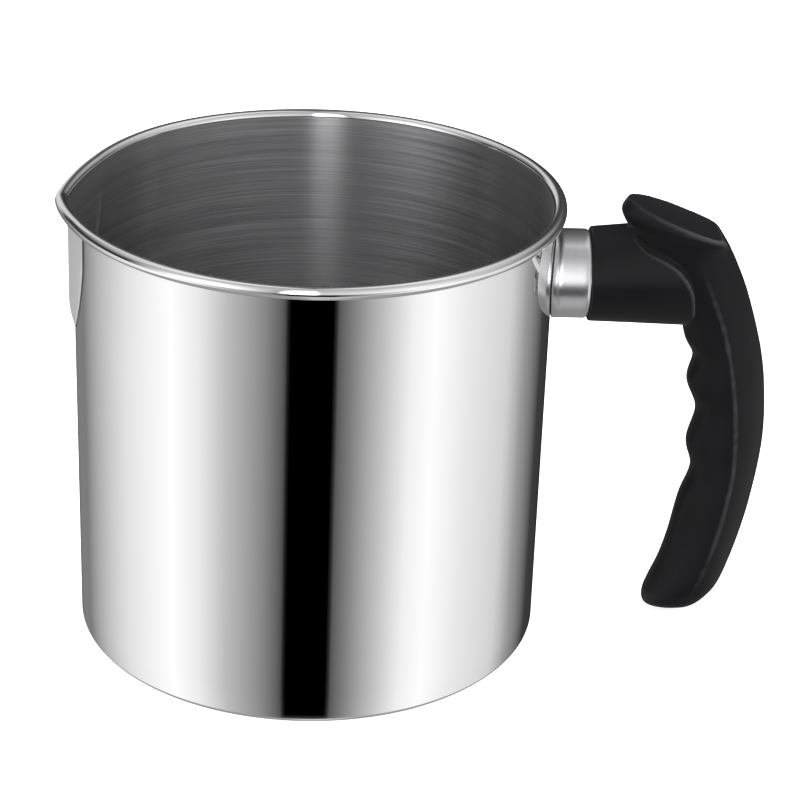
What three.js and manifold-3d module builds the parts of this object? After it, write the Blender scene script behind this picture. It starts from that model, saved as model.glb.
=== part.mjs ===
// Candle melting pot: a drawn steel pot with a pressed pouring spout, and a phenolic handle that slides
// over a bracket welded on the wall and is held there by one screw from below.
//
// Millimetres, +Z up. The origin is on the pot's axis at the underside of the base. The handle
// points along +X and the spout along -X.

import * as THREE from "three";
import { mergeVertices } from "three/addons/utils/BufferGeometryUtils.js";
import Module from "manifold-3d";

const wasm = await Module();
wasm.setup();

// ---------------------------------------------------------------- driving dimensions

const GAP = 0.3; // left between pieces that touch on the real pot
const ROUND_SIDES = 24; // sides of the small round pieces

const POT_R = 70; // outside of the wall
const SHEET = 0.8; // thickness of the drawn sheet
const BASE_CORNER_R = 1.5; // outside corner between base and wall
const BEAD_R = 1.92; // outside radius of the rolled rim
const BEAD_Z = 135.04; // height of the bead's centre
const CURL_END_DEG = -115; // where the rolled edge stops, short of the wall
const POT_SIDES = 80;

const SPOUT_HALF_DEG = 21.5; // half-width of the spout at the rim, seen from the pot's axis
const SPOUT_OUT = 2.2; // how far the spout's ridge stands out of the wall
const LIP_OUT = 2.72; // how far the lip stands out at the rim
const SPOUT_LOW_Z = 93.5; // where the spout runs out into the wall
const SPOUT_ROUND = 9; // height over which the foot of the ridge rounds out
const SPOUT_TOP_Z = 131;
const RIM_PINCH = 0.28; // how far pressing the spout draws in the rim beside it
const RIM_PINCH_DEG = [30, 52]; // the pinch is full up to the first angle and gone at the second
const LIP_DIP = 2.8; // how far the tip lies below the rim's plane
const LIP_DIP_DEG = 52;
const LIP_DIP_Z = 110; // the dip reaches down the wall as far as this height

const NECK_Z = 112.9; // height of the handle's neck, the sleeve and the bracket
const GUARD_R = 13.2; // outside of the flame guard
const GUARD_WALL = 0.8;
const GUARD_END_X = 80.5; // its outer end, where the handle sits
const GUARD_HOLE_R = 8; // hole in its turned-in end

const BRACKET_TONGUE = { endX: 101, halfWidth: 7, halfHeight: 1.25 };
const BRACKET_FOOT = { outX: 72.2, drop: 9 }; // outer face, and how far it reaches below the neck's axis

// Heights here are measured from the neck's axis, up the screw's own axis.
const SCREW_X = 93;
const SCREW_R = 2.5; // M5
const SCREW_LENGTH = 14;
const SCREW_TIP = 5.5;
const SCREW_HEAD = { r: 4.5, height: 3.4 };
const SCREW_CLEARANCE_R = 2.8;
const CROSS_RECESS = { width: 1.1, length: 4.6, depth: 1.8 };
const NUT_ACROSS_FLATS = 8;
const NUT_HEIGHT = 4;
const WASHER = { r: 5, holeR: 2.65, height: 1 };
const SPRING_WASHER = { r: 4.3, holeR: 2.65, height: 1.2, slitDeg: 8 };
const STACK_GAP = 0.1; // between the washers, the head and the counterbore's floor

const COUNTERBORE_R = 5.3;
const COUNTERBORE_TOP = -6; // its floor, inside the neck
const POCKET = { endX: 103, halfWidth: 7.4, low: -1.65, high: 6 }; // the neck's hollow for tongue and nut

const NECK_START_R = 14; // the handle's neck grows a little from the sleeve outwards
const NECK_END_R = 15;
const NECK_END_X = 113;
const NECK_NARROWING = 0.16; // how much of its width it loses on the way
const GRIP_HALF_WIDTH = 11.5;
const GRIP_EDGE = 2; // radius along the edges of its outline
const THUMB_HALF_WIDTH = 10.3;
const THUMB_SLOPE_DEG = -21.6;
const THUMB_THICKNESS = 8.6;
const THUMB_START = [92.2, 136.3]; // X and Z of the front of its top

// ---------------------------------------------------------------- solids

function solidOf(geometry) {
  const bare = geometry.index ? geometry.toNonIndexed() : geometry.clone();
  bare.deleteAttribute("normal");
  bare.deleteAttribute("uv");
  const merged = mergeVertices(bare, 1e-4);
  return new wasm.Manifold(
    new wasm.Mesh({
      numProp: 3,
      vertProperties: new Float32Array(merged.attributes.position.array),
      triVerts: new Uint32Array(merged.index.array),
    }),
  );
}

function geometryOf(solid) {
  const { vertProperties, triVerts } = solid.getMesh();
  const geometry = new THREE.BufferGeometry();
  geometry.setAttribute("position", new THREE.BufferAttribute(new Float32Array(vertProperties), 3));
  geometry.setIndex(new THREE.BufferAttribute(new Uint32Array(triVerts), 1));
  geometry.computeVertexNormals();
  return geometry;
}

// A profile of (radius, X) pairs turned about the neck's axis. Its outer side runs towards +X.
function turnedAboutNeck(profile, sides = ROUND_SIDES) {
  const points = profile.map(([radius, x]) => new THREE.Vector2(radius, -x)).reverse();
  const geometry = new THREE.LatheGeometry(points, sides);
  geometry.rotateZ(Math.PI / 2);
  geometry.translate(0, 0, NECK_Z);
  return geometry;
}

// A profile of (radius, height) pairs turned about the screw's upright axis. Its outer side runs up.
function turnedAboutScrew(profile, sides = ROUND_SIDES) {
  const geometry = new THREE.LatheGeometry(vectors(profile), sides);
  geometry.rotateX(Math.PI / 2);
  geometry.translate(SCREW_X, 0, NECK_Z);
  return geometry;
}

// An upright cylinder on the screw's axis.
function upright(radius, low, high, sides = ROUND_SIDES) {
  return turnedAboutScrew([[0, low], [radius, low], [radius, high], [0, high]], sides);
}

// A shape drawn in X and Z, thickened along Y about the pot's middle plane.
function extrudedAcross(shape, halfWidth, edge = 0, edgeSteps = 4) {
  const geometry = new THREE.ExtrudeGeometry(shape, {
    depth: 2 * (halfWidth - edge),
    bevelEnabled: edge > 0,
    bevelThickness: edge,
    bevelSize: edge,
    bevelOffset: -edge,
    bevelSegments: edgeSteps,
    curveSegments: 3,
  });
  geometry.translate(0, 0, edge - halfWidth);
  geometry.rotateX(Math.PI / 2);
  return geometry;
}

function vectors(pairs) {
  return pairs.map(([x, y]) => new THREE.Vector2(x, y));
}

// Points on an arc, both ends included, in degrees.
function arc(centreX, centreY, radius, fromDeg, toDeg, steps) {
  const points = [];
  for (let i = 0; i <= steps; i += 1) {
    const angle = THREE.MathUtils.degToRad(THREE.MathUtils.lerp(fromDeg, toDeg, i / steps));
    points.push([centreX + radius * Math.cos(angle), centreY + radius * Math.sin(angle)]);
  }
  return points;
}

// ---------------------------------------------------------------- pot body

// The spout's half-width, in degrees, at a height on the wall: a leaf with its point at the bottom.
function spoutHalfDeg(z) {
  const down = THREE.MathUtils.clamp((SPOUT_TOP_Z - z) / (SPOUT_TOP_Z - SPOUT_LOW_Z), 0, 1);
  return SPOUT_HALF_DEG * Math.sqrt(1 - down * down);
}

// How far the spout's ridge stands out at a height: rounding out of the wall, then flaring at the lip.
function ridgeOut(z) {
  const up = THREE.MathUtils.clamp((z - SPOUT_LOW_Z) / SPOUT_ROUND, 0, 1);
  const flare = THREE.MathUtils.smoothstep(z, SPOUT_TOP_Z - 7, SPOUT_TOP_Z + 2);
  return SPOUT_OUT * Math.sqrt(1 - (1 - up) * (1 - up)) + (LIP_OUT - SPOUT_OUT) * flare;
}

function spoutOffset(deg, z) {
  const halfDeg = spoutHalfDeg(z);
  const share = halfDeg > deg ? 1 - deg / halfDeg : 0;
  const across = (share + share * share) / 2;
  const pinch = 1 - THREE.MathUtils.smoothstep(deg, ...RIM_PINCH_DEG);
  const height = THREE.MathUtils.smoothstep(z, SPOUT_LOW_Z, SPOUT_TOP_Z);
  return ridgeOut(z) * across - RIM_PINCH * pinch * height;
}

function lipDrop(deg, z) {
  const near = Math.max(0, 1 - deg / LIP_DIP_DEG);
  return LIP_DIP * near * near * THREE.MathUtils.smoothstep(z, LIP_DIP_Z, SPOUT_TOP_Z);
}

// Pushes the spout out of a plain turned pot, moving inside and outside of the sheet alike.
function pressSpout(geometry) {
  const place = geometry.attributes.position;
  for (let i = 0; i < place.count; i += 1) {
    const [x, y, z] = [place.getX(i), place.getY(i), place.getZ(i)];
    const radius = Math.hypot(x, y);
    if (z < SPOUT_LOW_Z || radius < 1) continue;
    const deg = Math.abs(THREE.MathUtils.radToDeg(Math.atan2(y, -x)));
    const scale = (radius + spoutOffset(deg, z)) / radius;
    place.setXYZ(i, x * scale, y * scale, z - lipDrop(deg, z));
  }
}

function potBody() {
  const outer = POT_R;
  const inner = POT_R - SHEET;
  const corner = POT_R - BASE_CORNER_R;
  const beadX = inner + BEAD_R;
  const wallRows = [92, 97, 102, 111, 121, SPOUT_TOP_Z];
  const profile = [
    [0, 0],
    ...arc(corner, BASE_CORNER_R, BASE_CORNER_R, -90, 0, 3),
    ...wallRows.map((z) => [outer, z]),
    ...arc(beadX, BEAD_Z, BEAD_R - SHEET, 180, CURL_END_DEG, 7),
    ...arc(beadX, BEAD_Z, BEAD_R, CURL_END_DEG, 180, 9),
    ...wallRows.reverse().map((z) => [inner, z]),
    ...arc(corner, BASE_CORNER_R, BASE_CORNER_R - SHEET, 0, -90, 3),
    [0, SHEET],
  ];
  const geometry = new THREE.LatheGeometry(vectors(profile), POT_SIDES, Math.PI / 2);
  geometry.rotateX(Math.PI / 2);
  pressSpout(geometry);
  return geometryOf(solidOf(geometry));
}

// ---------------------------------------------------------------- what joins handle and pot

// An upright cylinder a little larger than the pot, which shapes what sits against the wall.
function wallCutter() {
  const geometry = new THREE.CylinderGeometry(POT_R + GAP, POT_R + GAP, 80, 180);
  geometry.rotateX(Math.PI / 2);
  geometry.translate(0, 0, NECK_Z);
  return solidOf(geometry);
}

function flameGuard() {
  const bend = 1.2;
  const inside = GUARD_R - GUARD_WALL;
  const end = GUARD_END_X;
  const sleeve = turnedAboutNeck(
    [
      [GUARD_R, POT_R - 6],
      [GUARD_R, end - bend],
      [GUARD_R - bend * 0.3, end - bend * 0.3],
      [GUARD_R - bend, end],
      [GUARD_HOLE_R, end],
      [GUARD_HOLE_R, end - GUARD_WALL],
      [inside, end - GUARD_WALL],
      [inside, POT_R - 6],
      [GUARD_R, POT_R - 6],
    ],
    48,
  );
  return geometryOf(solidOf(sleeve).subtract(wallCutter()));
}

// A welded foot under a level tongue, seen from the side as an L on its back.
function handleBracket() {
  const { endX, halfWidth, halfHeight } = BRACKET_TONGUE;
  const insideWall = POT_R - 4;
  const outline = [
    [insideWall, NECK_Z + halfHeight],
    [endX, NECK_Z + halfHeight],
    [endX, NECK_Z - halfHeight],
    [BRACKET_FOOT.outX, NECK_Z - halfHeight],
    [BRACKET_FOOT.outX, NECK_Z - BRACKET_FOOT.drop],
    [insideWall, NECK_Z - BRACKET_FOOT.drop],
  ];
  const blank = solidOf(extrudedAcross(new THREE.Shape(vectors(outline)), halfWidth));
  const hole = solidOf(upright(SCREW_CLEARANCE_R, -3, 3));
  return geometryOf(blank.subtract(wallCutter()).subtract(hole));
}

function weldNut() {
  const cornerR = NUT_ACROSS_FLATS / Math.sqrt(3);
  const low = BRACKET_TONGUE.halfHeight + GAP;
  const hex = solidOf(upright(cornerR, low, low + NUT_HEIGHT, 6));
  const hole = solidOf(upright(SCREW_CLEARANCE_R, low - 1, low + NUT_HEIGHT + 1));
  return geometryOf(hex.subtract(hole));
}

// ---------------------------------------------------------------- screw and washers

const washerLow = COUNTERBORE_TOP - STACK_GAP - WASHER.height;
const springLow = washerLow - STACK_GAP - SPRING_WASHER.height;
const headTop = SCREW_TIP - SCREW_LENGTH;

function ring({ r, holeR, height }, low) {
  return turnedAboutScrew([
    [holeR, low],
    [r, low],
    [r, low + height],
    [holeR, low + height],
    [holeR, low],
  ]);
}

function flatWasher() {
  return geometryOf(solidOf(ring(WASHER, washerLow)));
}

function springWasher() {
  const { r, height, slitDeg } = SPRING_WASHER;
  const slit = new THREE.BoxGeometry(r, 0.9, height * 3);
  slit.rotateX(THREE.MathUtils.degToRad(slitDeg));
  slit.translate(SCREW_X + r * 0.8, 0, NECK_Z + springLow + height / 2);
  return geometryOf(solidOf(ring(SPRING_WASHER, springLow)).subtract(solidOf(slit)));
}

function handleScrew() {
  const { r, height } = SCREW_HEAD;
  const headLow = headTop - height;
  const turned = turnedAboutScrew([
    [0, headLow],
    [r * 0.5, headLow],
    [r * 0.85, headLow + height * 0.15],
    [r, headLow + height * 0.45],
    [r, headTop],
    [SCREW_R, headTop],
    [SCREW_R, SCREW_TIP - 0.8],
    [SCREW_R - 0.6, SCREW_TIP],
    [0, SCREW_TIP],
  ]);
  const { width, length, depth } = CROSS_RECESS;
  let screw = solidOf(turned);
  for (const turn of [0, Math.PI / 2]) {
    const bar = new THREE.BoxGeometry(width, length, 2 * depth);
    bar.rotateZ(turn);
    bar.translate(SCREW_X, 0, NECK_Z + headLow);
    screw = screw.subtract(solidOf(bar));
  }
  return geometryOf(screw);
}

// ---------------------------------------------------------------- handle

// The grip seen from the side: back, foot and finger bumps.
function gripShape() {
  const back = [
    [120.4, 124.2], [126.3, 113], [131.1, 99.6], [134.9, 84.6], [136.7, 71], [137.2, 61],
    [136.3, 48], [133.9, 31.3], [130.7, 18.5], [128.1, 9.8],
  ];
  const footAndFingers = [
    [125.4, 5.6], [118.6, 2.6], [111.3, 1.8], [106.2, 3.6], [105, 8], [107.4, 15], [109.8, 22.5],
    [111.9, 33.5], [113, 40.5], [116, 50.5], [114, 59.3], [116, 69.8], [112.8, 80], [113.7, 87.5],
    [111.6, 92.5], [109.6, 97],
  ];
  const shape = new THREE.Shape();
  shape.moveTo(101, 101);
  shape.lineTo(100, 131);
  shape.lineTo(...back[0]);
  shape.splineThru(vectors(back.slice(1)));
  shape.splineThru(vectors(footAndFingers));
  return shape;
}

// The grip's rounded cross-section, carried down its middle line. It is widest across the ridge,
// which runs a little behind the middle.
function gripSweep() {
  const middle = [[100, 130], [112, 122], [121, 103], [125, 83], [126.2, 61], [123.7, 33], [115.5, -4]];
  const path = new THREE.CatmullRomCurve3(middle.map(([x, z]) => new THREE.Vector3(x, 0, z)));
  const [front, back, half] = [-13, 12.5, GRIP_HALF_WIDTH];
  const section = new THREE.Shape();
  section.moveTo(0, half);
  section.bezierCurveTo(-9, half, front, 0.75 * half, front, 0);
  section.bezierCurveTo(front, -0.75 * half, -9, -half, 0, -half);
  section.bezierCurveTo(6, -0.9 * half, back, -0.6 * half, back, 0);
  section.bezierCurveTo(back, 0.6 * half, 6, 0.9 * half, 0, half);
  const geometry = new THREE.ExtrudeGeometry(section, {
    steps: 16,
    extrudePath: path,
    bevelEnabled: false,
    curveSegments: 5,
  });
  return solidOf(geometry);
}

// The part of the neck that stands proud of the grip, seen from the side.
function neckShape() {
  const shape = new THREE.Shape();
  shape.moveTo(GUARD_END_X, NECK_Z - 20);
  shape.lineTo(112.5, NECK_Z - 20);
  shape.lineTo(112.3, 103.5);
  shape.splineThru(vectors([[111.5, 109], [109, 116.5], [103, 122], [94, 127]]));
  shape.lineTo(GUARD_END_X, NECK_Z + 20);
  return shape;
}

function neck() {
  const startX = GUARD_END_X + GAP;
  const turned = turnedAboutNeck(
    [
      [0, startX],
      [NECK_START_R - 0.8, startX],
      [NECK_START_R, startX + 0.8],
      [NECK_END_R, NECK_END_X],
      [0, NECK_END_X],
    ],
    48,
  );
  const place = turned.attributes.position;
  for (let i = 0; i < place.count; i += 1) {
    const along = (place.getX(i) - startX) / (NECK_END_X - startX);
    place.setY(i, place.getY(i) * (1 - NECK_NARROWING * along));
  }
  return solidOf(turned).intersect(solidOf(extrudedAcross(neckShape(), 20)));
}

// The thumb rest seen from above: a rounded nose over the neck, widening to the back.
function thumbRest() {
  const w = THUMB_HALF_WIDTH;
  const shape = new THREE.Shape();
  shape.moveTo(0, 0);
  shape.bezierCurveTo(0, -0.55 * w, 4, -0.95 * w, 12, -w);
  shape.bezierCurveTo(20, -w, 27, -0.9 * w, 30, -0.55 * w);
  shape.lineTo(30, 0.55 * w);
  shape.bezierCurveTo(27, 0.9 * w, 20, w, 12, w);
  shape.bezierCurveTo(4, 0.95 * w, 0, 0.55 * w, 0, 0);
  const geometry = new THREE.ExtrudeGeometry(shape, {
    depth: THUMB_THICKNESS - 2.4,
    bevelThickness: 1.2,
    bevelSize: 1.2,
    bevelOffset: -1.2,
    bevelSegments: 3,
    curveSegments: 6,
  });
  geometry.translate(0, 0, 1.2 - THUMB_THICKNESS);
  geometry.rotateY(THREE.MathUtils.degToRad(-THUMB_SLOPE_DEG));
  geometry.translate(THUMB_START[0], 0, THUMB_START[1]);
  return solidOf(geometry);
}

// The hollow that the bracket's tongue slides into, the screw's hole and its counterbore.
function handleHollows() {
  const { endX, halfWidth, low, high } = POCKET;
  const startX = GUARD_END_X - 5;
  const pocket = new THREE.BoxGeometry(endX - startX, 2 * halfWidth, high - low);
  pocket.translate((startX + endX) / 2, 0, NECK_Z + (low + high) / 2);
  const hole = solidOf(upright(SCREW_CLEARANCE_R, COUNTERBORE_TOP - 1, 0));
  const counterbore = solidOf(upright(COUNTERBORE_R, -20, COUNTERBORE_TOP));
  return solidOf(pocket).add(hole).add(counterbore);
}

function handle() {
  const outline = solidOf(extrudedAcross(gripShape(), GRIP_HALF_WIDTH + 1, GRIP_EDGE, 2));
  const grip = outline.intersect(gripSweep());
  const moulding = grip.add(neck()).add(thumbRest());
  return geometryOf(moulding.subtract(handleHollows()));
}

// ---------------------------------------------------------------- assembly

const steel = { metalness: 1, roughness: 0.12, color: 0xd2d2d4 };
const satinSteel = { metalness: 1, roughness: 0.35, color: 0xb9b9bb };
const zincSteel = { metalness: 1, roughness: 0.4, color: 0xa8a9a6 };
const phenolic = { metalness: 0, roughness: 0.42, color: 0x1e1e20 };

const pot = new THREE.Group();

function addPiece(name, geometry, finish) {
  const mesh = new THREE.Mesh(geometry, new THREE.MeshStandardMaterial(finish));
  mesh.name = name;
  pot.add(mesh);
}

addPiece("pot_body", potBody(), steel);
addPiece("flame_guard", flameGuard(), satinSteel);
addPiece("handle_bracket", handleBracket(), satinSteel);
addPiece("weld_nut", weldNut(), zincSteel);
addPiece("handle", handle(), phenolic);
addPiece("flat_washer", flatWasher(), zincSteel);
addPiece("spring_washer", springWasher(), zincSteel);
addPiece("handle_screw", handleScrew(), zincSteel);

export default pot;
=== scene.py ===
# %% [markdown]
# # A candle melting pot
#
# The pot is one drawn sheet of stainless steel, polished like a mirror outside and brushed
# inside, with a rolled rim and a pressed pouring spout. A steel sleeve, a bracket and one screw
# hold a black phenolic handle to it. The CAD frame fixes every size and place. This file gives
# each piece its fine shape and its finish, so it starts by loading that frame.

# %% Load the frame
import math

import bmesh
import bpy
import numpy as np
from mathutils import Matrix, Vector


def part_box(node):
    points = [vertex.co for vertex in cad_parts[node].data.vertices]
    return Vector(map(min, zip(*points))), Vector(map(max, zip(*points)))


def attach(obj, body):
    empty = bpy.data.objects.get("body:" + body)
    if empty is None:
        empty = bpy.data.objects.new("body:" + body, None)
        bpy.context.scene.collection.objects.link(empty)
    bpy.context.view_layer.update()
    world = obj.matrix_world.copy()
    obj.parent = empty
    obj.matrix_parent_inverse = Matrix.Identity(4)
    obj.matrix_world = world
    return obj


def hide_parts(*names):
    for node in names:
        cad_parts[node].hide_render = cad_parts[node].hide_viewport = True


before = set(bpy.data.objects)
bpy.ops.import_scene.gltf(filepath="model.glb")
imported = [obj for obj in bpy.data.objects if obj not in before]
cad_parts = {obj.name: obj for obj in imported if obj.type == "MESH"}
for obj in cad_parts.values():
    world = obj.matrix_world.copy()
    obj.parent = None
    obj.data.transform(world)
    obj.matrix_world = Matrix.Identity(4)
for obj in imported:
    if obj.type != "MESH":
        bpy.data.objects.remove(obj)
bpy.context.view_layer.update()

# %% [markdown]
# Blender works in metres, but a pot is easier to think of in millimetres. Every shape below is
# drawn in millimetres and scaled once, when its mesh is made. The sizes that the pieces share are
# read from the frame, so the fine shapes can't drift away from the CAD model.

# %% Shared sizes, in millimetres
MM = 0.001


def box_mm(node):
    low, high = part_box(node)
    return np.array(low) / MM, np.array(high) / MM


_, pot_high = box_mm("pot_body")
guard_low, guard_high = box_mm("flame_guard")
screw_low, screw_high = box_mm("handle_screw")

SHEET = 0.8
BEAD_R = 1.92
BEAD_OVERHANG = 2 * BEAD_R - SHEET
POT_R = pot_high[0] - BEAD_OVERHANG
BEAD_Z = pot_high[2] - BEAD_R
NECK_Z = (guard_low[2] + guard_high[2]) / 2
GUARD_R = (guard_high[2] - guard_low[2]) / 2
GUARD_END = guard_high[0]
GAP = 0.3  # left between pieces that touch
print(f"wall radius {POT_R:.2f}, rim centre {BEAD_Z:.2f} mm")
print(f"neck at {NECK_Z:.2f}, sleeve radius {GUARD_R:.2f} mm")

# %% [markdown]
# ## The camera
#
# A product photographer stands back and uses a long lens, so that the pot's sides stay nearly
# parallel. The camera looks down at about 26 degrees, which shows the rim as an open ellipse. It
# leans by two degrees and isn't shifted.

# %% Place the camera
CAMERA_DISTANCE = 0.74134
CAMERA_DOWN = math.radians(25.678)
CAMERA_TURN = math.radians(2.082)
CAMERA_LEAN = math.radians(2.147)
CAMERA_AIM = Vector((0.0024, 0.0, 0.07035))
LENS_MM = 110.82
SENSOR_MM = 36.0

camera = bpy.data.objects.new("camera", bpy.data.cameras.new("camera"))
bpy.context.scene.collection.objects.link(camera)
bpy.context.scene.camera = camera
camera.data.sensor_width = SENSOR_MM
camera.data.lens = LENS_MM
camera.data.clip_start = 0.01

forward = Vector((
    math.sin(CAMERA_TURN) * math.cos(CAMERA_DOWN),
    math.cos(CAMERA_TURN) * math.cos(CAMERA_DOWN),
    -math.sin(CAMERA_DOWN),
))
level = forward.cross(Vector((0, 0, 1))).normalized()
upright = level.cross(forward)
right = math.cos(CAMERA_LEAN) * level + math.sin(CAMERA_LEAN) * upright
up = right.cross(forward)
turn = Matrix((right, up, -forward)).transposed().to_4x4()
eye = CAMERA_AIM + CAMERA_DISTANCE * Vector((0, -math.cos(CAMERA_DOWN), math.sin(CAMERA_DOWN)))
camera.matrix_world = Matrix.Translation(eye) @ turn
print("camera at", tuple(round(v, 3) for v in eye))

# %% [markdown]
# ## Helpers
#
# A shape here is a list of closed rings of points, joined by strips of four-sided faces: that is
# a loft. Lathe work is a loft too. One helper makes the mesh, one puts a finished piece on the
# frame's body, and one adds a shader node with its settings and links.


# %% Mesh helpers
def mesh_piece(name, points_mm, faces):
    mesh = bpy.data.meshes.new(name)
    mesh.from_pydata([tuple(p) for p in np.asarray(points_mm) * MM], [], faces)
    mesh.validate()
    piece = bpy.data.objects.new(name, mesh)
    bpy.context.scene.collection.objects.link(piece)
    mesh.shade_smooth()
    return piece


def strips(rows, columns, close_rows=False):
    """Faces that join each closed ring of a grid to the next, and last to first if asked."""
    faces = []
    for row in range(rows if close_rows else rows - 1):
        after = (row + 1) % rows
        for column in range(columns):
            beside = (column + 1) % columns
            faces.append((
                row * columns + column,
                row * columns + beside,
                after * columns + beside,
                after * columns + column,
            ))
    return faces


def face_outwards(piece):
    shape = bmesh.new()
    shape.from_mesh(piece.data)
    bmesh.ops.recalc_face_normals(shape, faces=shape.faces)
    shape.to_mesh(piece.data)
    shape.free()


def apply_modifiers(piece):
    graph = bpy.context.evaluated_depsgraph_get()
    finished = bpy.data.meshes.new_from_object(piece.evaluated_get(graph))
    piece.modifiers.clear()
    piece.data = finished
    piece.data.shade_smooth()


def cut_away(piece, tool):
    cut = piece.modifiers.new("cut", "BOOLEAN")
    cut.operation = "DIFFERENCE"
    cut.solver = "EXACT"
    cut.object = tool
    apply_modifiers(piece)
    bpy.data.objects.remove(tool)


def place_on_frame(piece, slot, *nodes):
    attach(piece, "root")
    if nodes:
        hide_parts(*nodes)
    print(f"{piece.name}: {len(piece.data.polygons)} faces")


# %% Curve helpers
def smooth_step(value, low, high):
    t = np.clip((value - low) / (high - low), 0, 1)
    return t * t * (3 - 2 * t)


def spline(knots, places):
    """A smooth curve through the rows of knots, read at places from 0 to 1 along them."""
    knots = np.asarray(knots, float)
    at = np.clip(np.asarray(places, float), 0, 1) * (len(knots) - 1)
    start = np.minimum(at.astype(int), len(knots) - 2)
    t = (at - start)[:, None]
    before, after = np.maximum(start - 1, 0), np.minimum(start + 2, len(knots) - 1)
    a, b, c, d = knots[before], knots[start], knots[start + 1], knots[after]
    return b + 0.5 * t * (c - a + t * (2 * a - 5 * b + 4 * c - d + t * (3 * (b - c) + d - a)))


def arc(centre, radius, start_deg, end_deg, steps):
    angles = np.radians(np.linspace(start_deg, end_deg, steps))
    return [(centre[0] + radius * np.cos(a), centre[1] + radius * np.sin(a)) for a in angles]


# %% Shader helpers
def linear(hex_colour):
    """An sRGB hex colour as the linear RGBA that Blender's sockets take."""
    channels = [int(hex_colour[i:i + 2], 16) / 255 for i in (1, 3, 5)]
    return [c / 12.92 if c <= 0.04045 else ((c + 0.055) / 1.055) ** 2.4 for c in channels] + [1.0]


def add_node(tree, kind, settings=None, links=None, **values):
    """Adds a node, with its properties (settings), its inputs' sources (links) and their values."""
    node = tree.nodes.new(kind)
    for key, value in (settings or {}).items():
        setattr(node, key, value)
    for key, value in values.items():
        node.inputs[key.replace("_", " ")].default_value = value
    for key, source in (links or {}).items():
        tree.links.new(source, node.inputs[key])
    return node


def new_material(name):
    """An empty material with its output and a Principled shader joined to it."""
    material = bpy.data.materials.new(name)
    material.use_nodes = True
    tree = material.node_tree
    tree.nodes.clear()
    shader = add_node(tree, "ShaderNodeBsdfPrincipled")
    add_node(tree, "ShaderNodeOutputMaterial", links={"Surface": shader.outputs[0]})
    return material, tree, shader


# %% [markdown]
# ## Mirror-polished 304 stainless steel
#
# The outside of the pot is buffed until it is a mirror: the eye sees only what stands round it.
# The metal takes a little off the light, so its colour is a light neutral grey. Buffing leaves
# very fine haze, which is drawn as a slow change of roughness.

# %% Mirror steel
STEEL_GREY = "#f0f0f0"
HAZE_SIZE = 12
HAZE_ROUGHNESS = (0.02, 0.045)


def mirror_steel():
    material, tree, shader = new_material("mirror_polished_steel")
    shader.inputs["Base Color"].default_value = linear(STEEL_GREY)
    shader.inputs["Metallic"].default_value = 1.0
    place = add_node(tree, "ShaderNodeTexCoord")
    haze = add_node(tree, "ShaderNodeTexNoise", links={"Vector": place.outputs["Object"]},
                    Scale=1 / (HAZE_SIZE * MM), Detail=3.0)
    amount = add_node(tree, "ShaderNodeMapRange", links={"Value": haze.outputs["Fac"]},
                      To_Min=HAZE_ROUGHNESS[0], To_Max=HAZE_ROUGHNESS[1])
    tree.links.new(amount.outputs["Result"], shader.inputs["Roughness"])
    return material


# %% [markdown]
# ## Brushed stainless steel
#
# The inside is brushed round and round, so it is covered in level scratches. Scratches spread
# light across themselves: on a wall they draw every light out into an upright band. That is
# anisotropy, and it needs a tangent that runs round the axis. The scratches themselves are drawn
# as noise stretched along the brushing. Real ones are a few hundredths of a millimetre wide, and
# these are coarser, so that they show.

# %% Brushed steel
SCRATCH_WIDTH = 0.35
SCRATCH_LENGTH = 60
SCRATCH_DEPTH = 0.02
BAND_WIDTH = 9 * SCRATCH_WIDTH
BAND_LENGTH = 2 * SCRATCH_LENGTH
BAND_WEIGHT = 0.25  # how strongly the wide bands are added to the scratches
STREAKS_LIE = {"From_Min": 0.5, "From_Max": 0.9}  # the range that the sum of the two mostly fills
DARKER, LIGHTER = 0.7, 0.3  # how far full streaks take the colour down and up
SMOOTHER, ROUGHER = 0.35, 0.45  # and the roughness
QUARTER_TURN = 0.25


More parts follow.
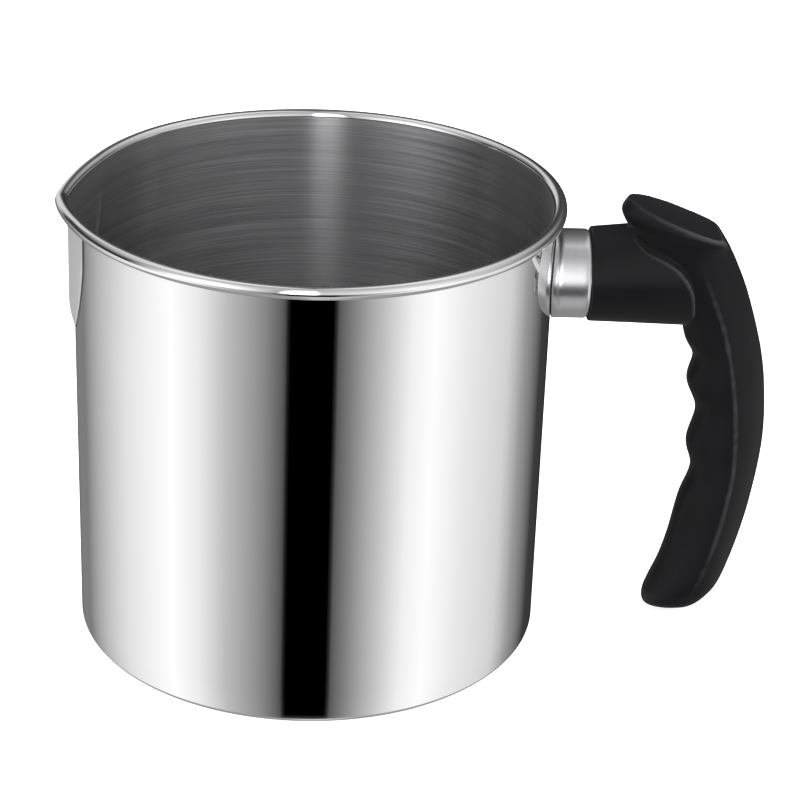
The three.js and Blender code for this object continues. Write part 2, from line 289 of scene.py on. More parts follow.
def brushed_steel(name, colour, roughness, anisotropy, streaks):
    material, tree, shader = new_material(name)
    shader.inputs["Metallic"].default_value = 1.0
    shader.inputs["Anisotropic"].default_value = anisotropy
    shader.inputs["Anisotropic Rotation"].default_value = QUARTER_TURN
    place = add_node(tree, "ShaderNodeUVMap")
    stretch = add_node(tree, "ShaderNodeMapping", links={"Vector": place.outputs["UV"]},
                       Scale=(1 / SCRATCH_LENGTH, 1 / SCRATCH_WIDTH, 1))
    scratches = add_node(tree, "ShaderNodeTexNoise", links={"Vector": stretch.outputs[0]},
                         Scale=1.0, Detail=4.0, Roughness=0.65)
    wide = add_node(tree, "ShaderNodeMapping", links={"Vector": place.outputs["UV"]},
                    Scale=(1 / BAND_LENGTH, 1 / BAND_WIDTH, 1))
    bands = add_node(tree, "ShaderNodeTexNoise", links={"Vector": wide.outputs[0]},
                     Scale=1.0, Detail=2.0)
    both = add_node(tree, "ShaderNodeMath", {"operation": "MULTIPLY_ADD"},
                    {0: bands.outputs["Fac"], 2: scratches.outputs["Fac"]})
    both.inputs[1].default_value = BAND_WEIGHT
    tone = add_node(tree, "ShaderNodeMapRange", links={"Value": both.outputs[0]},
                    To_Min=1 - DARKER * streaks, To_Max=1 + LIGHTER * streaks, **STREAKS_LIE)
    tint = add_node(tree, "ShaderNodeVectorMath", {"operation": "SCALE"},
                    links={"Scale": tone.outputs["Result"]})
    tint.inputs[0].default_value = linear(colour)[:3]
    tree.links.new(tint.outputs[0], shader.inputs["Base Color"])
    rough = add_node(tree, "ShaderNodeMapRange", links={"Value": both.outputs[0]},
                     To_Min=roughness * (1 - SMOOTHER * streaks),
                     To_Max=roughness * (1 + ROUGHER * streaks), **STREAKS_LIE)
    tree.links.new(rough.outputs["Result"], shader.inputs["Roughness"])
    tangent = add_node(tree, "ShaderNodeTangent", {"direction_type": "UV_MAP"})
    tree.links.new(tangent.outputs[0], shader.inputs["Tangent"])
    bump = add_node(tree, "ShaderNodeBump", links={"Height": scratches.outputs["Fac"]},
                    Strength=streaks, Distance=SCRATCH_DEPTH * MM)
    tree.links.new(bump.outputs[0], shader.inputs["Normal"])
    return material


# %% [markdown]
# ## Phenolic moulding
#
# The handle is compression-moulded phenolic, the black plastic of pan handles: hard, nearly black
# and satin from its mould. It is drawn with a very fine grain in the surface and a slightly
# uneven sheen, as a mould's polish leaves it. Its IOR is higher than most plastics', but its
# surface mirrors little, so the specular level is set low. Its edges that stand out are painted a
# paler grey, a painted highlight, where the mesh carries a value that marks them.

# %% Phenolic plastic
PHENOLIC_BLACK = "#0f0f12"
PHENOLIC_CLOUD = "#18181b"
# a paler grey painted on the edges that stand out, as a painted highlight
PHENOLIC_EDGE_HIGHLIGHT = "#4a4a4e"
PHENOLIC_IOR = 1.58
PHENOLIC_SPECULAR = 0.13
SHEEN_SIZE = 18
SHEEN_ROUGHNESS = (0.40, 0.48)
GRAIN_SIZE = 0.5
GRAIN_STRENGTH = 0.25
GRAIN_DEPTH = 0.02


def phenolic():
    material, tree, shader = new_material("satin_black_phenolic")
    shader.inputs["IOR"].default_value = PHENOLIC_IOR
    shader.inputs["Specular IOR Level"].default_value = PHENOLIC_SPECULAR
    place = add_node(tree, "ShaderNodeTexCoord")
    sheen = add_node(tree, "ShaderNodeTexNoise", links={"Vector": place.outputs["Object"]},
                     Scale=1 / (SHEEN_SIZE * MM), Detail=4.0)
    colour = add_node(tree, "ShaderNodeMix", {"data_type": "RGBA"},
                      {"Factor": sheen.outputs["Fac"]})
    colour.inputs["A"].default_value = linear(PHENOLIC_BLACK)
    colour.inputs["B"].default_value = linear(PHENOLIC_CLOUD)
    # the painted highlight: the edges' value mixes in the paler grey
    edge_highlight = add_node(tree, "ShaderNodeAttribute", {"attribute_name": "edge_highlight"})
    highlighted = add_node(tree, "ShaderNodeMix", {"data_type": "RGBA"}, {"Factor": edge_highlight.outputs["Fac"]})
    tree.links.new(colour.outputs["Result"], highlighted.inputs["A"])
    highlighted.inputs["B"].default_value = linear(PHENOLIC_EDGE_HIGHLIGHT)
    tree.links.new(highlighted.outputs["Result"], shader.inputs["Base Color"])
    rough = add_node(tree, "ShaderNodeMapRange", links={"Value": sheen.outputs["Fac"]},
                     From_Min=0.3, From_Max=0.7,
                     To_Min=SHEEN_ROUGHNESS[0], To_Max=SHEEN_ROUGHNESS[1])
    tree.links.new(rough.outputs["Result"], shader.inputs["Roughness"])
    grain = add_node(tree, "ShaderNodeTexNoise", links={"Vector": place.outputs["Object"]},
                     Scale=1 / (GRAIN_SIZE * MM), Detail=2.0)
    bump = add_node(tree, "ShaderNodeBump", links={"Height": grain.outputs["Fac"]},
                    Strength=GRAIN_STRENGTH, Distance=GRAIN_DEPTH * MM)
    tree.links.new(bump.outputs[0], shader.inputs["Normal"])
    return material


# %% [markdown]
# ## Zinc-plated steel
#
# The screw, the nut and the washers are common zinc-plated steel: a cool, slightly blue grey that
# is duller than stainless, with a patchy bloom from the plating bath.

# %% Zinc plate
ZINC_DARK = "#9a9c9b"
ZINC_LIGHT = "#c3c6c6"
BLOOM_SIZE = 1.5
BLOOM_ROUGHNESS = (0.28, 0.5)


def zinc_plate():
    material, tree, shader = new_material("zinc_plated_steel")
    shader.inputs["Metallic"].default_value = 1.0
    place = add_node(tree, "ShaderNodeTexCoord")
    bloom = add_node(tree, "ShaderNodeTexNoise", links={"Vector": place.outputs["Object"]},
                     Scale=1 / (BLOOM_SIZE * MM), Detail=4.0)
    colour = add_node(tree, "ShaderNodeMix", {"data_type": "RGBA"},
                      {"Factor": bloom.outputs["Fac"]})
    colour.inputs["A"].default_value = linear(ZINC_DARK)
    colour.inputs["B"].default_value = linear(ZINC_LIGHT)
    tree.links.new(colour.outputs["Result"], shader.inputs["Base Color"])
    rough = add_node(tree, "ShaderNodeMapRange", links={"Value": bloom.outputs["Fac"]},
                     To_Min=BLOOM_ROUGHNESS[0], To_Max=BLOOM_ROUGHNESS[1])
    tree.links.new(rough.outputs["Result"], shader.inputs["Roughness"])
    return material


MIRROR = mirror_steel()
BRUSHED = brushed_steel("brushed_steel", "#c8c8ca", roughness=0.34, anisotropy=0.97, streaks=0.45)
# painted shade: a darker, rougher copy of the steel for under the bead and the spout's crease
SHADE_STEEL = brushed_steel("painted_shade_steel", "#68686a", roughness=0.4, anisotropy=0.5, streaks=0.2)
PRESSED = brushed_steel("pressed_steel", "#fafafa", roughness=0.48, anisotropy=0.0, streaks=0.0)
SATIN = brushed_steel("satin_steel", "#d6d6d8", roughness=0.27, anisotropy=0.0, streaks=0.04)
PHENOLIC = phenolic()
ZINC = zinc_plate()

# %% [markdown]
# ## The pot body
#
# The body starts as a round blank drawn into a cup. Its edge is rolled outwards into a bead,
# which makes it stiff and safe to touch, and the spout is pressed out of the wall. The same steps
# shape the mesh: a profile is turned about the axis, then the spout's offset is added to every
# point, inside and out, so that the sheet keeps its thickness. The columns of the mesh are bent
# to follow the spout's edge, because a mirror shows any crease that cuts across its faces.
#
# Under the bead, and down the crease beside the spout, the steel is painted a darker, duller grey:
# painted shade for the shadow that falls there. The press leaves the spout itself a little
# softer than a mirror.

# %% The spout's shape
SPOUT_HALF = 21.5
SPOUT_OUT = 2.2
LIP_OUT = 2.72
SPOUT_LOW = 93.5
SPOUT_ROUND = 9
SPOUT_TOP = 131
RIM_PINCH = 0.28
PINCH_FROM, PINCH_TO = 30, 52
LIP_DIP = 2.8
DIP_DEG = 52
DIP_LOW = 110
LIP_FLARE = (SPOUT_TOP - 7, SPOUT_TOP + 2)  # heights over which the spout opens out to its lip
RIDGE_SOFT = 0.05
RIDGE_SHARP = 0.5  # 0 gives the spout flat flanks, 1 hollow ones
CREASE_DEPTH = 0.22
CREASE_WIDTH = 1.1
CREASE_FADES = (119, 127)  # heights between which the crease runs out under the bead
CREASE_COLUMNS = 2  # columns either side of the crease that get the painted shade
NARROWEST = 1.2


def spout_half(z):
    down = np.clip((SPOUT_TOP - z) / (SPOUT_TOP - SPOUT_LOW), 0, 1)
    return SPOUT_HALF * np.sqrt(1 - down * down)


def spout_offset(deg, z):
    """How far the spout moves the sheet outwards, at degrees from its middle and a height."""
    half = np.maximum(spout_half(z), 1e-6)
    across = np.clip(1 - np.sqrt((deg / half) ** 2 + RIDGE_SOFT ** 2), 0, 1)
    rise = np.clip((z - SPOUT_LOW) / SPOUT_ROUND, 0, 1)
    ridge = SPOUT_OUT * np.sqrt(1 - (1 - rise) ** 2)
    ridge = ridge + (LIP_OUT - SPOUT_OUT) * smooth_step(z, *LIP_FLARE)
    pinch = RIM_PINCH * (1 - smooth_step(deg, PINCH_FROM, PINCH_TO))
    pinch = pinch * smooth_step(z, SPOUT_LOW, SPOUT_TOP)
    crease = CREASE_DEPTH * np.exp(-((deg - half) / CREASE_WIDTH) ** 2) * rise
    crease = crease * (1 - smooth_step(z, *CREASE_FADES))
    return ridge * ((1 - RIDGE_SHARP) * across + RIDGE_SHARP * across ** 2) - pinch - crease


def lip_drop(deg, z):
    near = np.maximum(0, 1 - deg / DIP_DEG)
    return LIP_DIP * near ** 2 * smooth_step(z, DIP_LOW, SPOUT_TOP)


# %% The body's profile and its mesh
BASE_CORNER = 1.5
CURL_END = -115  # degrees: where the curl stops inside the bead
ROW_HEIGHT = 0.8  # between rows of the mesh where the spout is pressed
HUB = 0.5  # radius of the first ring, round the axis
BEAD_ROWS_INSIDE = 1  # rows of the bead that are brushed with the inside
BEAD_ROWS_POLISHED = 24  # rows at the end of the bead that stay mirror-polished; the bead's rows before them get painted shade
LEAF_LOW = SPOUT_LOW + 0.5  # where the softer finish of the spout starts


def body_profile():
    """(radius, height) round the sheet's section, from the axis below to the axis inside."""
    corner = (POT_R - BASE_CORNER, BASE_CORNER)
    bead = (POT_R - SHEET + BEAD_R, BEAD_Z)
    low = np.linspace(BASE_CORNER, SPOUT_LOW - 1, 12)[1:]
    high = np.arange(SPOUT_LOW, SPOUT_TOP + 0.1, ROW_HEIGHT)
    rows = np.concatenate([low, high])
    radii = np.concatenate([[HUB], np.linspace(6, corner[0], 10)[:-1]])
    outside = [(r, 0) for r in radii] + arc(corner, BASE_CORNER, -90, 0, 9)
    outside += [(POT_R, z) for z in rows]
    curl = arc(bead, BEAD_R - SHEET, 180, CURL_END, 22) + arc(bead, BEAD_R, CURL_END, 180, 30)
    inside = [(POT_R - SHEET, z) for z in rows[::-1]]
    inside += arc(corner, BASE_CORNER - SHEET, 0, -90, 7) + [(r, SHEET) for r in radii[::-1]]
    starts = np.cumsum([len(outside), len(curl)])
    return np.array(outside + curl + inside), starts


def body_columns():
    """Columns from the spout's middle to its edge, on to the end of the dip, and round the back.

    Each stretch is in shares of its own width. They are closest at the spout's edge.
    """
    spout = np.concatenate([np.linspace(0, 0.86, 24), np.linspace(0.88, 1, 11)])
    beside = np.concatenate([np.linspace(0.012, 0.12, 9), np.linspace(0.15, 1, 34)])
    round_the_back = np.linspace(0, 1, 97)[1:]
    return spout, beside, round_the_back


def column_angles(z):
    spout, beside, back = body_columns()
    half = max(float(spout_half(np.array(min(z, SPOUT_TOP)))), NARROWEST)
    half_side = np.concatenate([
        spout * half,
        half + beside * (DIP_DEG - half),
        DIP_DEG + back * (180 - DIP_DEG),
    ])
    return np.concatenate([half_side, -half_side[-2:0:-1]])


def pot_body():
    profile, (curl_start, inside_start) = body_profile()
    rings, sheet_uv = [], []
    length = np.concatenate([[0], np.cumsum(np.hypot(*np.diff(profile, axis=0).T))])
    for (radius, z), along in zip(profile, length):
        deg = column_angles(z)
        away = np.abs(deg)
        pressed = z >= SPOUT_LOW
        r = radius + (spout_offset(away, z) if pressed else 0)
        height = z - lip_drop(away, z) if pressed else np.full_like(away, z)
        angle = np.radians(180 - deg)
        rings.append(np.stack([r * np.cos(angle), r * np.sin(angle), height], axis=1))
        around = np.radians(deg) * max(radius, 1)
        sheet_uv.append(np.stack([around, np.full_like(deg, along)], axis=1))
    columns = len(rings[0])
    faces = strips(len(rings), columns)
    last = (len(rings) - 1) * columns
    faces.append(tuple(range(columns))[::-1])
    faces.append(tuple(range(last, last + columns)))
    piece = mesh_piece("pot_body_fine", np.concatenate(rings), faces)
    for finish in (MIRROR, BRUSHED, SHADE_STEEL, PRESSED):
        piece.data.materials.append(finish)
    brushed, shaded, leaf = 1, 2, 3  # their places in that list
    first_pressed = int(np.argmax(profile[:, 1] >= LEAF_LOW))
    spout_columns = len(body_columns()[0]) - 1
    for i, face in enumerate(piece.data.polygons):
        row = i // columns
        if row >= inside_start - BEAD_ROWS_INSIDE or i == len(faces) - 1:
            face.material_index = brushed
        # the underside of the bead, and the columns beside the spout's crease, take the painted
        # shade
        elif curl_start <= row < inside_start - BEAD_ROWS_POLISHED:
            face.material_index = shaded
        elif first_pressed <= row < curl_start:
            from_middle = min(i % columns, columns - 1 - i % columns)
            if abs(from_middle - spout_columns) <= CREASE_COLUMNS:
                face.material_index = shaded
            elif from_middle < spout_columns:
                face.material_index = leaf
    lay_uv(piece, np.concatenate(sheet_uv))
    face_outwards(piece)
    return piece


# %% [markdown]
# The brushing needs a map that says which way is round the pot and which way is up: a UV map in
# millimetres, with round-the-pot in U and along-the-sheet in V. The map jumps back to its start
# in the last column of faces, on the spout's middle line.


# %% A UV map in millimetres
def lay_uv(piece, uv_mm):
    """Gives every corner of every face the UV of its point, in millimetres."""
    layer = piece.data.uv_layers.new(name="sheet")
    corners = np.empty(len(piece.data.loops), int)
    piece.data.loops.foreach_get("vertex_index", corners)
    uv = uv_mm[corners]
    layer.data.foreach_set("uv", uv.astype(np.float32).ravel())


body = pot_body()
place_on_frame(body, "pot_steel", "pot_body")

# %% [markdown]
# ## The flame guard
#
# A short sleeve of satin stainless steel keeps the flame off the handle. It is pressed from
# sheet, with its outer end turned in, and its inner end is cut to sit on the round wall. Each
# line along the sleeve starts where it meets the wall, so the cut needs no boolean.

# %% Flame guard
GUARD_WALL = 0.8
GUARD_BEND = 1.2
GUARD_HOLE = 8
GUARD_EDGE = 0.12  # how far the edge on the wall is eased
GUARD_ROW = 1.5  # how far apart the rings are laid in the UV map


def flame_guard():
    around = np.radians(np.arange(0, 360, 3))
    ring = np.stack([np.zeros_like(around), np.sin(around), np.cos(around)], axis=1)

    def at(radius, x):
        points = ring * radius
        points[:, 0] = x
        points[:, 2] += NECK_Z
        return points

    def on_wall(radius):
        return np.sqrt((POT_R + GAP) ** 2 - (radius * np.sin(around)) ** 2)

    outer_wall = on_wall(GUARD_R)
    centre = (GUARD_R - GUARD_BEND, GUARD_END - GUARD_BEND)
    bend = arc(centre, GUARD_BEND, 0, 90, 7)
    inner_bend = arc(centre, GUARD_BEND - GUARD_WALL, 90, 0, 5)
    inner_r = GUARD_R - GUARD_WALL
    straight = GUARD_END - GUARD_BEND - outer_wall
    eased = GUARD_R - GUARD_EDGE
    rings = [at(eased, on_wall(eased)), at(GUARD_R, outer_wall + GUARD_EDGE)]
    rings += [at(GUARD_R, outer_wall + straight * t) for t in (0.3, 0.6, 0.9)]
    rings += [at(r, x) for r, x in bend]
    rings += [at(GUARD_HOLE, GUARD_END), at(GUARD_HOLE, GUARD_END - GUARD_WALL)]
    rings += [at(r, x) for r, x in inner_bend] + [at(inner_r, on_wall(inner_r))]
    faces = strips(len(rings), len(around), close_rows=True)
    piece = mesh_piece("flame_guard_fine", np.concatenate(rings), faces)
    piece.data.materials.append(SATIN)
    along = np.repeat(np.arange(len(rings)) * GUARD_ROW, len(around))
    lay_uv(piece, np.stack([np.tile(around * GUARD_R, len(rings)), along], axis=1))
    face_outwards(piece)
    return piece


guard = flame_guard()
place_on_frame(guard, "guard_steel", "flame_guard")

# %% [markdown]
# ## The handle
#
# The handle is one moulding with three parts that flow into each other: a round neck, a thumb
# rest and a grip with finger bumps. The grip and thumb rest are one loft. Each station is a slice
# from the front, where the fingers go, to the back: two points, a half-width, how sharp the ridge
# down its side is, and how square its back is. Each slice is widest where it crosses one line
# down the handle. The neck is a second loft, cut off along a curve on each side. The two overlap,
# and a voxel remesh makes them one skin. A few rounds of smoothing then leave the soft fillets
# that a mould has.

# %% Stations of the grip and thumb rest
# front x, front z, back x, back z, half-width, ridge sharpness,
# squareness of the back (0.5 is round, and less is squarer)
GRIP_STATIONS = [
    (107.5, 1.6, 116.5, 2.9, 3.5, 0.0, 0.5),
    (105.0, 2.8, 122.6, 5.0, 7.6, 0.0, 0.5),
    (104.6, 6.2, 126.4, 8.8, 9.6, 0.0, 0.5),
    (106.1, 11.0, 128.6, 12.8, 10.6, 0.15, 0.5),
    (108.7, 18.0, 130.7, 19.5, 11.2, 0.35, 0.5),
    (110.9, 27.0, 133.0, 28.5, 11.5, 0.55, 0.5),
    (112.4, 36.0, 134.7, 37.0, 11.5, 0.6, 0.5),
    (113.5, 41.3, 135.5, 42.5, 11.5, 0.6, 0.5),
    (116.1, 50.3, 136.5, 50.5, 11.5, 0.6, 0.5),
    (114.0, 59.2, 137.2, 60.0, 11.5, 0.6, 0.5),
    (116.0, 69.9, 137.0, 69.5, 11.5, 0.6, 0.5),
    (112.5, 79.5, 135.8, 81.0, 11.5, 0.6, 0.5),
    (113.7, 87.4, 134.2, 89.5, 11.4, 0.6, 0.5),
    (110.9, 93.2, 132.3, 96.5, 11.2, 0.55, 0.5),
    (109.0, 100.0, 130.1, 103.5, 10.8, 0.5, 0.5),
    (106.0, 106.5, 127.6, 110.5, 10.2, 0.45, 0.5),
    (102.5, 113.0, 124.9, 116.6, 9.4, 0.3, 0.45),
    (98.0, 119.5, 122.2, 122.0, 8.8, 0.1, 0.35),
    (93.8, 125.5, 120.4, 124.7, 9.0, 0.0, 0.2),
    (90.4, 130.2, 119.4, 126.0, 9.9, 0.0, 0.12),
    (89.1, 134.0, 118.8, 126.6, 10.4, 0.0, 0.12),
    (91.0, 137.4, 118.2, 126.9, 10.2, 0.0, 0.12),
]
# x, z down the line where each slice is widest: the middle of the thumb rest, then the ridge
WIDEST = [
    (106.5, 134), (109.0, 126), (112.9, 118.5), (117.1, 109), (121.1, 98.5), (124.4, 85.4),
    (126.5, 72.4), (127.6, 57), (126.9, 45.5), (124.5, 30.6), (121.0, 17), (117.0, 6), (114.0, -2),
]
ROWS_PER_STATION = 8
POINTS_ACROSS = 44
DISH_DEPTH = 1.1
TOP_FACES = (0.36, 0, 0.93)  # the way that the thumb rest looks
CAP_SHARES = (0.85, 0.65, 0.4, 0.15)  # sizes of the rings that close an end


def widest_share(front, back):
    """How far along a slice, from its front, it crosses the widest line."""
    ridge_x, ridge_z = spline(WIDEST, np.linspace(0, 1, 200))[::-1].T
    shares = np.linspace(0.2, 0.8, 61)
    line = front + shares[:, None] * (back - front)
    return np.interp(0, line[:, 0] - np.interp(line[:, 1], ridge_z, ridge_x), shares)


def slice_ring(front, back, half_width, ridge, corner):
    """A closed ring from the front, along the near side to the back, home along the far side."""
    widest = widest_share(front, back)
    share = (1 - np.cos(np.linspace(0, math.pi, POINTS_ACROSS + 1))) / 2
    u = np.where(share < widest, share / widest, (1 - share) / (1 - widest))
    round_off = np.where(share < widest, 0.5, corner)
    width = half_width * (u * ((2 - ridge) - (1 - ridge) * u)) ** round_off
    line = front + share[:, None] * (back - front)
    near = np.stack([line[:, 0], -width, line[:, 1]], axis=1)
    far = near[-2:0:-1] * [1, -1, 1]
    return np.concatenate([near, far])


def capped(rings, dish):
    """Closes both ends of a loft: each end ring shrinks to its middle, and may sink by a dish."""
    first, last = rings[0], rings[-1]
    middle, sink = last.mean(0), dish * np.array(TOP_FACES)
    bottom = [first.mean(0) + (first - first.mean(0)) * s for s in CAP_SHARES[::-1]]
    top = [middle + (last - middle) * s - (1 - s * s) * sink for s in CAP_SHARES]
    return bottom + rings + top


def grip_and_thumb_rest():
    stations = np.array(GRIP_STATIONS)
    rows = spline(stations, np.linspace(0, 1, ROWS_PER_STATION * (len(stations) - 1) + 1))
    rings = [slice_ring(r[0:2], r[2:4], r[4], max(r[5], 0), r[6]) for r in rows]
    rings = capped(rings, DISH_DEPTH)
    columns = len(rings[0])
    faces = strips(len(rings), columns)
    last = (len(rings) - 1) * columns
    faces += [tuple(range(columns))[::-1], tuple(range(last, last + columns))]
    return mesh_piece("grip", np.concatenate(rings), faces)


# %% The neck
NECK_START_R = 14.0
NECK_END_R = 15.3
NECK_NARROWING = 0.16
NECK_FADE = 0.16
NECK_LIP = 0.3
NECK_FACE = 6  # width of the flat ring that faces the sleeve
NECK_BELOW = (-0.2, 0.8)  # from the sides to the underside, where the neck also narrows by the fade
# x, z down the curve where the neck ends on the grip's side
NECK_EDGE = [
    (92.6, 127.8), (93.7, 125.8), (96.3, 123.6), (99.5, 122.4), (102.9, 120.9), (106.2, 118.8),
    (108.9, 115.6), (110.7, 111.6), (111.6, 106.7), (112.0, 102.0), (110.6, 97.5),
]


def neck():
    edge = np.array(NECK_EDGE)[::-1]
    around = np.linspace(0, 2 * math.pi, 121)[:-1]
    y, z = -np.sin(around), np.cos(around)
    start = GUARD_END + GAP
    end = np.interp(NECK_Z + NECK_END_R * z, edge[:, 1], edge[:, 0])

    def ring(radius, x):
        taper = NECK_NARROWING + NECK_FADE * smooth_step(-z, *NECK_BELOW)
        narrowing = 1 - taper * (x + 0 * y - start) / (NECK_EDGE[-2][0] - start)
        return np.stack([x + 0 * y, radius * y * narrowing, NECK_Z + radius * z], axis=1)

    rings = [ring(NECK_START_R - NECK_FACE, start), ring(NECK_START_R - NECK_LIP, start)]
    lip = arc((NECK_LIP, NECK_START_R - NECK_LIP), NECK_LIP, 180, 90, 6)
    rings += [ring(r, start + x) for x, r in lip[1:]]
    for t in np.linspace(0, 1, 30)[1:]:
        radius = NECK_START_R + (NECK_END_R - NECK_START_R) * t
        rings.append(ring(radius, start + NECK_LIP + (end - start - NECK_LIP) * t))
    columns = len(around)
    faces = strips(len(rings), columns)
    faces.append(tuple(range(columns))[::-1])
    last = (len(rings) - 1) * columns
    half = columns // 2
    for i in range(half):
        ends = (i, i + 1, (columns - i - 1) % columns, (columns - i) % columns)
        faces.append(tuple(dict.fromkeys(last + k for k in ends)))
    return mesh_piece("neck", np.concatenate(rings), faces)


# %% Tools that cut the neck's hollows
SCREW_X = (screw_low[0] + screw_high[0]) / 2
SCREW_CLEARANCE = 2.8
COUNTERBORE_R = 5.3
COUNTERBORE_TOP = NECK_Z - 6
POCKET_LOW = (GUARD_END - 5, -7.4, NECK_Z - 1.65)
POCKET_HIGH = (103, 7.4, NECK_Z + 6)
TOOL_OVERLAP = 1  # how far one cut runs into the next
TOOL_LENGTH = 20  # enough to reach out of the neck below


def upright_tool(radius, low, high, sides=96):
    around = np.linspace(0, 2 * math.pi, sides, endpoint=False)
    x, y = SCREW_X + radius * np.cos(around), radius * np.sin(around)
    rings = [np.stack([x, y, np.full_like(x, z)], axis=1) for z in (low, high)]
    faces = strips(2, sides) + [tuple(range(sides)), tuple(range(sides, 2 * sides))]
    tool = mesh_piece("tool", np.concatenate(rings), faces)
    face_outwards(tool)
    return tool


def pocket_tool(low, high):
    outline = ((low[0], low[1]), (high[0], low[1]), (high[0], high[1]), (low[0], high[1]))
    rings = [[(x, y, z) for x, y in outline] for z in (low[2], high[2])]
    tool = mesh_piece("tool", np.concatenate(rings), strips(2, 4) + [(0, 1, 2, 3), (4, 5, 6, 7)])
    face_outwards(tool)
    return tool


# %% [markdown]
# The edges that stand out most, along the ridge, round the thumb rest and on the edge of the neck,
# get a painted highlight: a paler grey that stands in for the light they catch. To find those
# places, a copy of the points is smoothed. A point on an edge then sinks inwards, and a point in a
# hollow comes out. How far it sinks is evened out between neighbours, faded away towards the pot,
# and kept on the mesh for the material to read.

# %% Find the edges that get the painted highlight
HIGHLIGHT_FIND_ROUNDS = 8
EVENING_ROUNDS = 5
HIGHLIGHT_FADE_IN = (86, 122)  # x over which the painted highlight fades in to full strength
HIGHLIGHT_SINK = (0.014, 0.046)  # how far an edge sinks where the painted highlight starts to show, and where it is full


def mark_highlight_edges(piece):
    mesh = piece.data
    points = np.empty(3 * len(mesh.vertices))
    mesh.vertices.foreach_get("co", points)
    points = points.reshape(-1, 3) / MM
    normals = np.empty(3 * len(mesh.vertices))
    mesh.vertex_normals.foreach_get("vector", normals)
    normals = normals.reshape(-1, 3)
    edges = np.empty(2 * len(mesh.edges), int)
    mesh.edges.foreach_get("vertices", edges)
    start, end = edges.reshape(-1, 2).T
    count = np.bincount(np.concatenate([start, end]), minlength=len(points))[:, None]

    def average(values):
        """Moves every value halfway to the mean of its neighbours."""
        total = np.zeros_like(values)
        np.add.at(total, start, values[end])
        np.add.at(total, end, values[start])
        return 0.5 * values + 0.5 * total / np.maximum(count, 1)

    smooth = points
    for _ in range(HIGHLIGHT_FIND_ROUNDS):
        smooth = average(smooth)
    sunk = ((points - smooth) * normals).sum(axis=1, keepdims=True)
    for _ in range(EVENING_ROUNDS):
        sunk = average(sunk)
    spread = np.percentile(sunk, (50, 80, 90, 95, 99))
    print("edges sink by", [round(float(v), 3) for v in spread], "mm")
    # how strongly each point gets the painted highlight, by how far it sinks
    slightly, fully = HIGHLIGHT_SINK
    edge_highlight = np.clip((sunk[:, 0] - slightly) / (fully - slightly), 0, 1)
    edge_highlight = edge_highlight * smooth_step(points[:, 0], *HIGHLIGHT_FADE_IN)
    layer = mesh.attributes.new("edge_highlight", "FLOAT", "POINT")
    layer.data.foreach_set("value", edge_highlight.astype(np.float32))


# %% One skin for the whole moulding
VOXEL_MM = 0.32
SMOOTHING_ROUNDS = 9


def handle():
    grip, stub = grip_and_thumb_rest(), neck()
    for part in (grip, stub):
        face_outwards(part)
    skin = bmesh.new()
    skin.from_mesh(grip.data)
    skin.from_mesh(stub.data)
    skin.to_mesh(grip.data)
    skin.free()
    bpy.data.objects.remove(stub)
    grip.name = "handle_fine"
    remesh = grip.modifiers.new("skin", "REMESH")
    remesh.mode = "VOXEL"
    remesh.voxel_size = VOXEL_MM * MM
    soften = grip.modifiers.new("soften", "SMOOTH")
    soften.factor = 0.5
    soften.iterations = SMOOTHING_ROUNDS
    apply_modifiers(grip)
    mark_highlight_edges(grip)
    cut_away(grip, pocket_tool(POCKET_LOW, POCKET_HIGH))
    cut_away(grip, upright_tool(SCREW_CLEARANCE, COUNTERBORE_TOP - TOOL_OVERLAP, NECK_Z))
    cut_away(grip, upright_tool(COUNTERBORE_R, NECK_Z - TOOL_LENGTH, COUNTERBORE_TOP))
    grip.data.materials.clear()
    grip.data.materials.append(PHENOLIC)
    return grip


moulding = handle()
moulding.visible_glossy = False
place_on_frame(moulding, "phenolic", "handle")

# %% [markdown]
# ## The screw and what it holds
#
# The bracket, the nut and the washers hide inside the handle, and the screw's head shows from
# below, deep in its hole under the neck. All of them are plain turned or stamped parts, so their
# CAD shapes stay and only take a finish.

# %% Finish the bracket and the fastenings
for node, finish in (
    ("handle_bracket", PRESSED),
    ("weld_nut", ZINC),
    ("flat_washer", ZINC),
    ("spring_washer", ZINC),
    ("handle_screw", ZINC),
):
    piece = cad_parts[node]
    piece.data.materials.clear()
    piece.data.materials.append(finish)
    print(node, "takes", finish.name)

# %% [markdown]
# ## The studio
#
# A mirror is only as good as what it reflects, so the studio is designed for the pot, and it is
# all in the world. What a shiny surface sees is stacked in zones by height, each a ramp of greys
# round the compass. The room below eye level is what the upright wall reflects: a black flag
# behind the camera puts the dark stripe down its middle, and the light rises softly on both sides
# of it. The walls and the ceiling light the bead, the sleeve and the inside. Matt surfaces see
# one soft tent of light instead. The floor is a plain pale sweep that the mirror doesn't see.

# %% The floor
FLOOR_SIZE = 8.0
FLOOR_PALE = "#f6f6f6"
FLOOR_ROUGHNESS = 0.9
FLOOR_GLOW = 0.7


def floor():
    bpy.ops.mesh.primitive_plane_add(size=FLOOR_SIZE, location=(0, 0, 0))
    plane = bpy.context.object
    plane.name = "floor"
    material, tree, shader = new_material("pale_floor")
    shader.inputs["Base Color"].default_value = linear(FLOOR_PALE)
    shader.inputs["Roughness"].default_value = FLOOR_ROUGHNESS
    shader.inputs["Specular IOR Level"].default_value = 0.0
    shader.inputs["Emission Color"].default_value = linear("#ffffff")
    shader.inputs["Emission Strength"].default_value = FLOOR_GLOW
    plane.data.materials.append(material)
    plane.visible_glossy = False
    plane.visible_diffuse = False


floor()

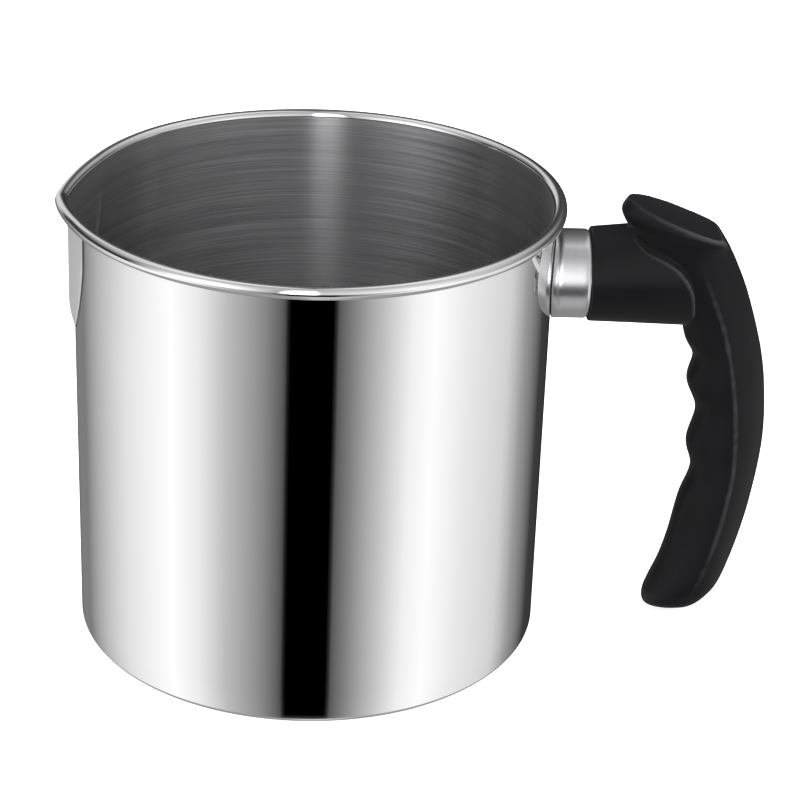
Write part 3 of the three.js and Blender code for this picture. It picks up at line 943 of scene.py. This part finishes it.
# %% The world's light
# degrees from the camera's side of the room, and how bright the room is there below eye level
ROOM = [
    (-180, 0.02), (-172, 0.06), (-162, 0.2), (-152, 0.22), (-143, 0.22), (-122, 0.54),
    (-100, 0.87), (-70, 1.15), (-55, 0.95), (-40, 0.57), (-22, 0.28), (-13, 0.11), (-11, 0),
    (11, 0), (12, 0.10), (20, 0.26), (35, 0.63), (48, 1.0), (60, 1.14), (80, 0.93), (108, 0.73),
    (123, 0.36), (146, 0.05), (180, 0.02),
]
# the same from eye level up: one narrow light over the camera, and a softer room beside it
WALLS = [
    (-180, 0.03), (-172, 0.1), (-163, 0.7), (-148, 0.7), (-138, 0.05), (-90, 0.03), (-72, 0.7),
    (-50, 1.9), (-32, 1.2), (-15, 0.4), (-8.5, 4.2), (0.5, 4.2), (3, 0.7), (45, 1.1), (80, 0.6),
    (120, 0.1), (180, 0.03),
]
# the same overhead, where only the far side is dark
CEILING = [
    (-180, 0.15), (-165, 0.2), (-145, 0.9), (-100, 0.9), (-70, 0.5), (70, 0.5), (100, 0.9),
    (145, 0.9), (165, 0.2), (180, 0.15),
]
# the same well below, where only the sleeve's side of the floor is lit
GROUND = [
    (-180, 0.35), (-12, 0.35), (-2, 0.6), (22, 0.6), (34, 0.35), (180, 0.35),
]
TENT_LIGHT = 1.6
# height from straight down at 0 to straight up at 1, and how bright the tent is there
TENT = [(0.45, 0.12), (0.6, 1.0)]
# degrees of height between which one zone gives way to the next
GROUND_TO_ROOM = (-46, -38)
ROOM_TO_WALLS = (-13, -3)
WALLS_TO_CEILING = (12, 60)


def set_greys(ramp, stops):
    """Sets a colour ramp's stops from pairs of a place between 0 and 1 and a grey."""
    keys = ramp.color_ramp.elements
    while len(keys) < len(stops):
        keys.new(0.5)
    for key, (place, grey) in zip(keys, stops):
        key.position = place
        key.color = (grey, grey, grey, 1)


def studio_world():
    world = bpy.data.worlds.new("studio")
    bpy.context.scene.world = world
    world.use_nodes = True
    tree = world.node_tree
    tree.nodes.clear()
    way = add_node(tree, "ShaderNodeTexCoord")
    ray = add_node(tree, "ShaderNodeSeparateXYZ", links={0: way.outputs["Generated"]})
    near = add_node(tree, "ShaderNodeMapRange", {"clamp": False}, {"Value": ray.outputs["Y"]},
                    From_Min=-1.0, From_Max=1.0, To_Min=1.0, To_Max=-1.0)
    turn = add_node(tree, "ShaderNodeMath", {"operation": "ARCTAN2"},
                    {0: ray.outputs["X"], 1: near.outputs[0]})
    share = add_node(tree, "ShaderNodeMapRange", links={"Value": turn.outputs[0]},
                     From_Min=-math.pi, From_Max=math.pi)
    rise = add_node(tree, "ShaderNodeMath", {"operation": "ARCSINE"}, {0: ray.outputs["Z"]})
    height = add_node(tree, "ShaderNodeMapRange", links={"Value": rise.outputs[0]},
                      From_Min=-math.pi / 2, From_Max=math.pi / 2)
    zones = ((ROOM, GROUND_TO_ROOM), (WALLS, ROOM_TO_WALLS), (CEILING, WALLS_TO_CEILING))
    lowest = add_node(tree, "ShaderNodeValToRGB", links={"Fac": share.outputs[0]})
    set_greys(lowest, [((deg + 180) / 360, grey) for deg, grey in GROUND])
    seen = lowest.outputs["Color"]
    for zone, (low, high) in zones:
        around = add_node(tree, "ShaderNodeValToRGB", links={"Fac": share.outputs[0]})
        set_greys(around, [((deg + 180) / 360, grey) for deg, grey in zone])
        rising = add_node(tree, "ShaderNodeValToRGB", links={"Fac": height.outputs[0]})
        set_greys(rising, [((low + 90) / 180, 0.0), ((high + 90) / 180, 1.0)])
        blend = add_node(tree, "ShaderNodeMix", {"data_type": "RGBA"},
                         {"Factor": rising.outputs["Color"]})
        tree.links.new(seen, blend.inputs["A"])
        tree.links.new(around.outputs["Color"], blend.inputs["B"])
        seen = blend.outputs["Result"]
    mirrored = add_node(tree, "ShaderNodeBackground", links={"Color": seen})
    tent = add_node(tree, "ShaderNodeValToRGB", links={"Fac": height.outputs[0]})
    set_greys(tent, TENT)
    soft = add_node(tree, "ShaderNodeBackground", links={"Color": tent.outputs["Color"]},
                    Strength=TENT_LIGHT)
    path = add_node(tree, "ShaderNodeLightPath")
    choose = add_node(tree, "ShaderNodeMixShader", links={0: path.outputs["Is Glossy Ray"]})
    tree.links.new(soft.outputs[0], choose.inputs[1])
    tree.links.new(mirrored.outputs[0], choose.inputs[2])
    add_node(tree, "ShaderNodeOutputWorld", links={"Surface": choose.outputs[0]})


studio_world()
bpy.context.scene.view_settings.view_transform = "Standard"
